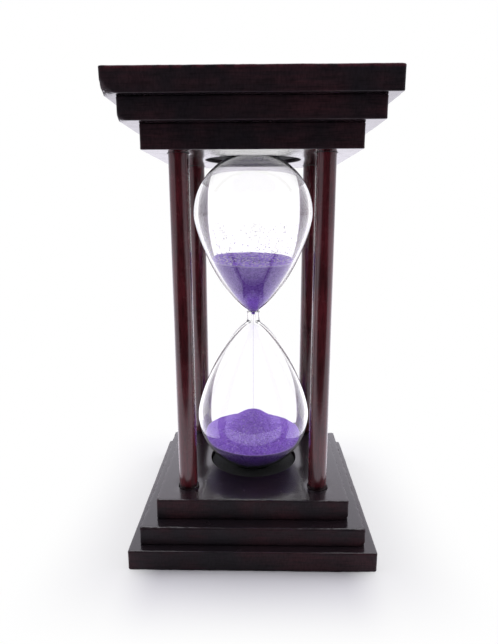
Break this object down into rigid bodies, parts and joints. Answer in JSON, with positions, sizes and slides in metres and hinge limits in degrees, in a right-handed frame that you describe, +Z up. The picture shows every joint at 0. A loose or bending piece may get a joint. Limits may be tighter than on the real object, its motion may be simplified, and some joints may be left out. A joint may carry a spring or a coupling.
{
  "type": "hourglass",
  "caption": "Sand glass with two teardrop bulbs, held between stepped square wooden ends joined by plain round columns.",
  "frame": {"origin": "centre of the underside of the base, on the surface the hourglass stands on", "axes": "+Z up along the axis of the glass, front towards -Y, +X to the right seen from the front"},
  "size_m": [0.081, 0.081, 0.152],
  "materials": {
    "board_lacquer": "gloss",
    "column_lacquer": "gloss",
    "pad_rubber": "matte",
    "glue": "gloss",
    "glass": "polished",
    "rubber": "matte",
    "sand": "matte"
  },
  "bodies": {
    "frame": {"base_outer_board": "board_lacquer", "base_middle_board": "board_lacquer", "base_inner_board": "board_lacquer", "base_pad": "pad_rubber", "base_glue_bead_front_left": "glue", "base_glue_bead_front_right": "glue", "base_glue_bead_back_left": "glue", "base_glue_bead_back_right": "glue", "top_outer_board": "board_lacquer", "top_middle_board": "board_lacquer", "top_inner_board": "board_lacquer", "top_pad": "pad_rubber", "top_glue_bead_front_left": "glue", "top_glue_bead_front_right": "glue", "top_glue_bead_back_left": "glue", "top_glue_bead_back_right": "glue", "column_front_left": "column_lacquer", "column_front_right": "column_lacquer", "column_back_left": "column_lacquer", "column_back_right": "column_lacquer"},
    "glass": {"glass_bulbs": "glass", "filling_stopper": "rubber", "sand_upper": "sand", "sand_thread": "sand", "sand_lower": "sand"}
  },
  "joints": [
    {"name": "glass_turn", "type": "hinge", "parent": "frame", "child": "glass", "pos_m": [0, 0, 0.076], "axis": [0, 0, 1], "continuous": true}
  ]
}
